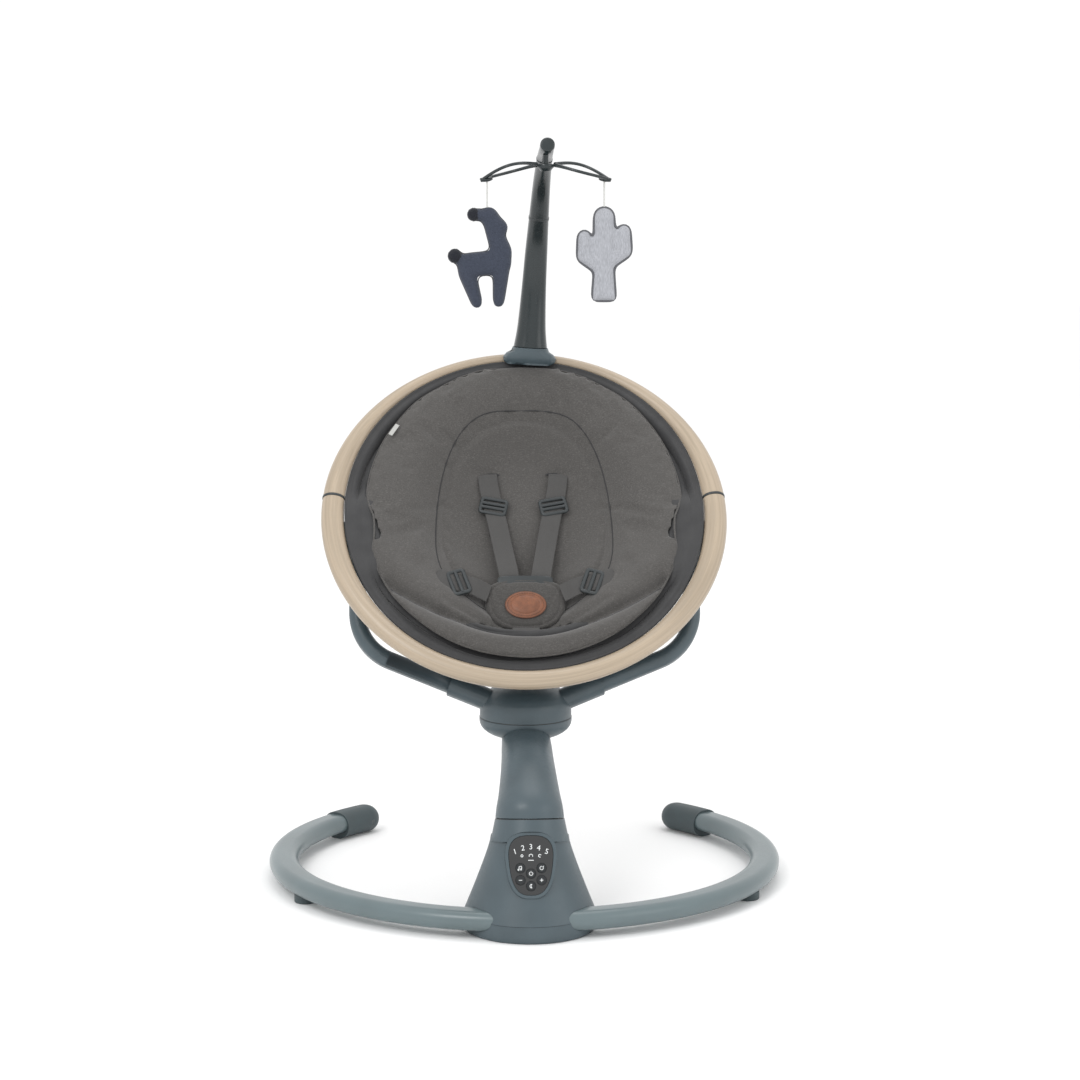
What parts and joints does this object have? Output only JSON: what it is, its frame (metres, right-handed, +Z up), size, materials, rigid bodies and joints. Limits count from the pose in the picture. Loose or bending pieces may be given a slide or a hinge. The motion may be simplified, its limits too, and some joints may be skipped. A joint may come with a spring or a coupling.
{
  "type": "baby swing",
  "caption": "Electric baby swing: open C-shaped floor tube, hub with control panel, swinging stem, fork, round wooden seat ring with padded seat and harness, toy arm with mobile.",
  "frame": {"origin": "centre of the hub's underside, on the floor, directly under the start of the swing axis", "axes": "+Z up, -Y towards the front (the control panel's side), +X to the viewer's right when facing the front"},
  "size_m": [0.653, 0.5821, 0.9354],
  "materials": {
    "slate_plastic": "satin",
    "slate_gloss": "gloss",
    "dark_plastic": "satin",
    "black_panel": "gloss",
    "rubber": "matte",
    "steel": "brushed",
    "maple": "satin",
    "nylon": "matte",
    "melange": "matte",
    "webbing": "matte",
    "tan_leather": "satin",
    "felt_dark": "matte",
    "satin_grey": "satin",
    "ribbon": "satin",
    "copper": "satin",
    "board": "matte"
  },
  "bodies": {
    "base": {"base_pad": "rubber", "base_plate": "dark_plastic", "hub_skirt": "slate_plastic", "hub_shell": "slate_plastic", "leg_left": "slate_plastic", "leg_right": "slate_plastic", "cap_left": "rubber", "cap_right": "rubber", "small_feet": "rubber", "leg_saddle": "rubber", "leg_screws": "steel", "panel_bezel": "slate_plastic", "panel_face": "black_panel", "circuit_board": "board", "power_inlet": "dark_plastic", "drive_coil": "copper", "bearing_block": "dark_plastic"},
    "stem": {"swing_shaft": "steel", "stem_shell": "slate_plastic", "head_bowl": "slate_plastic", "swivel_spindle": "steel"},
    "carrier": {"head_cap": "slate_plastic", "fork_left": "slate_plastic", "fork_right": "slate_plastic", "hinge_left": "slate_plastic", "hinge_right": "slate_plastic", "hinge_pins": "steel"},
    "seat": {"lug_left": "slate_plastic", "lug_right": "slate_plastic", "ring_head": "maple", "ring_foot": "maple", "ring_joints": "dark_plastic", "arm_bracket": "slate_plastic", "arm_lower": "slate_gloss", "arm_upper": "slate_gloss", "arm_end": "slate_gloss", "bucket": "nylon", "pad": "melange", "inlay": "melange", "straps_shoulder": "webbing", "straps_waist": "webbing", "sliders": "dark_plastic", "buckle": "dark_plastic"},
    "mobile": {"mobile": "slate_gloss"},
    "toy_left": {"string_left": "ribbon", "llama": "felt_dark"},
    "toy_right": {"string_right": "ribbon", "cactus": "satin_grey"},
    "latch_left": {"latch_left": "dark_plastic"},
    "latch_right": {"latch_right": "dark_plastic"},
    "knob_left": {"knob_left": "dark_plastic"},
    "knob_right": {"knob_right": "dark_plastic"},
    "buckle_button": {"buckle_button": "tan_leather"},
    "button_a": {"button_a": "black_panel"},
    "button_b": {"button_b": "black_panel"},
    "button_c": {"button_c": "black_panel"},
    "button_d": {"button_d": "black_panel"},
    "button_e": {"button_e": "black_panel"},
    "button_f": {"button_f": "black_panel"}
  },
  "joints": [
    {"name": "stem_swing", "type": "hinge", "parent": "base", "child": "stem", "pos_m": [0, 0, 0.132], "axis": [0, 0.2045, 0.9789], "range_deg": [-48, 48]},
    {"name": "seat_swivel", "type": "hinge", "parent": "stem", "child": "carrier", "pos_m": [0, 0.2, 0.216], "axis": [0, 0, 1], "continuous": true},
    {"name": "seat_recline", "type": "hinge", "parent": "carrier", "child": "seat", "pos_m": [0, 0.26967, 0.42461], "axis": [-1, 0, 0], "range_deg": [0, 14]},
    {"name": "mobile_spin", "type": "hinge", "parent": "seat", "child": "mobile", "pos_m": [0.02592, 0.236, 0.899], "axis": [0, 0, 1], "continuous": true},
    {"name": "toy_left_hang", "type": "hinge", "parent": "mobile", "child": "toy_left", "pos_m": [-0.04658, 0.236, 0.8809], "axis": [0, 1, 0], "range_deg": [-25, 25]},
    {"name": "toy_right_hang", "type": "hinge", "parent": "mobile", "child": "toy_right", "pos_m": [0.09842, 0.236, 0.8809], "axis": [0, 1, 0], "range_deg": [-25, 25]},
    {"name": "press_a", "type": "slide", "parent": "base", "child": "button_a", "axis": [0, 0.9537, -0.3007], "range_m": [0, 0.0009], "stiffness_N_per_m": 400},
    {"name": "press_b", "type": "slide", "parent": "base", "child": "button_b", "axis": [0, 0.9537, -0.3007], "range_m": [0, 0.0009], "stiffness_N_per_m": 400},
    {"name": "press_c", "type": "slide", "parent": "base", "child": "button_c", "axis": [0, 0.9537, -0.3007], "range_m": [0, 0.0009], "stiffness_N_per_m": 400},
    {"name": "press_d", "type": "slide", "parent": "base", "child": "button_d", "axis": [0, 0.9537, -0.3007], "range_m": [0, 0.0009], "stiffness_N_per_m": 400},
    {"name": "press_e", "type": "slide", "parent": "base", "child": "button_e", "axis": [0, 0.9537, -0.3007], "range_m": [0, 0.0009], "stiffness_N_per_m": 400},
    {"name": "press_f", "type": "slide", "parent": "base", "child": "button_f", "axis": [0, 0.9537, -0.3007], "range_m": [0, 0.0009], "stiffness_N_per_m": 400},
    {"name": "latch_left_press", "type": "slide", "parent": "carrier", "child": "latch_left", "axis": [0, -0.3688, -0.9295], "range_m": [0, 0.001], "stiffness_N_per_m": 600},
    {"name": "knob_left_press", "type": "slide", "parent": "carrier", "child": "knob_left", "axis": [1, 0, 0], "range_m": [0, 0.003], "stiffness_N_per_m": 500},
    {"name": "latch_right_press", "type": "slide", "parent": "carrier", "child": "latch_right", "axis": [0, -0.3688, -0.9295], "range_m": [0, 0.001], "stiffness_N_per_m": 600},
    {"name": "knob_right_press", "type": "slide", "parent": "carrier", "child": "knob_right", "axis": [-1, 0, 0], "range_m": [0, 0.003], "stiffness_N_per_m": 500},
    {"name": "buckle_release", "type": "slide", "parent": "seat", "child": "buckle_button", "axis": [0, 0.809, -0.5878], "range_m": [0, 0.0018], "stiffness_N_per_m": 800}
  ]
}
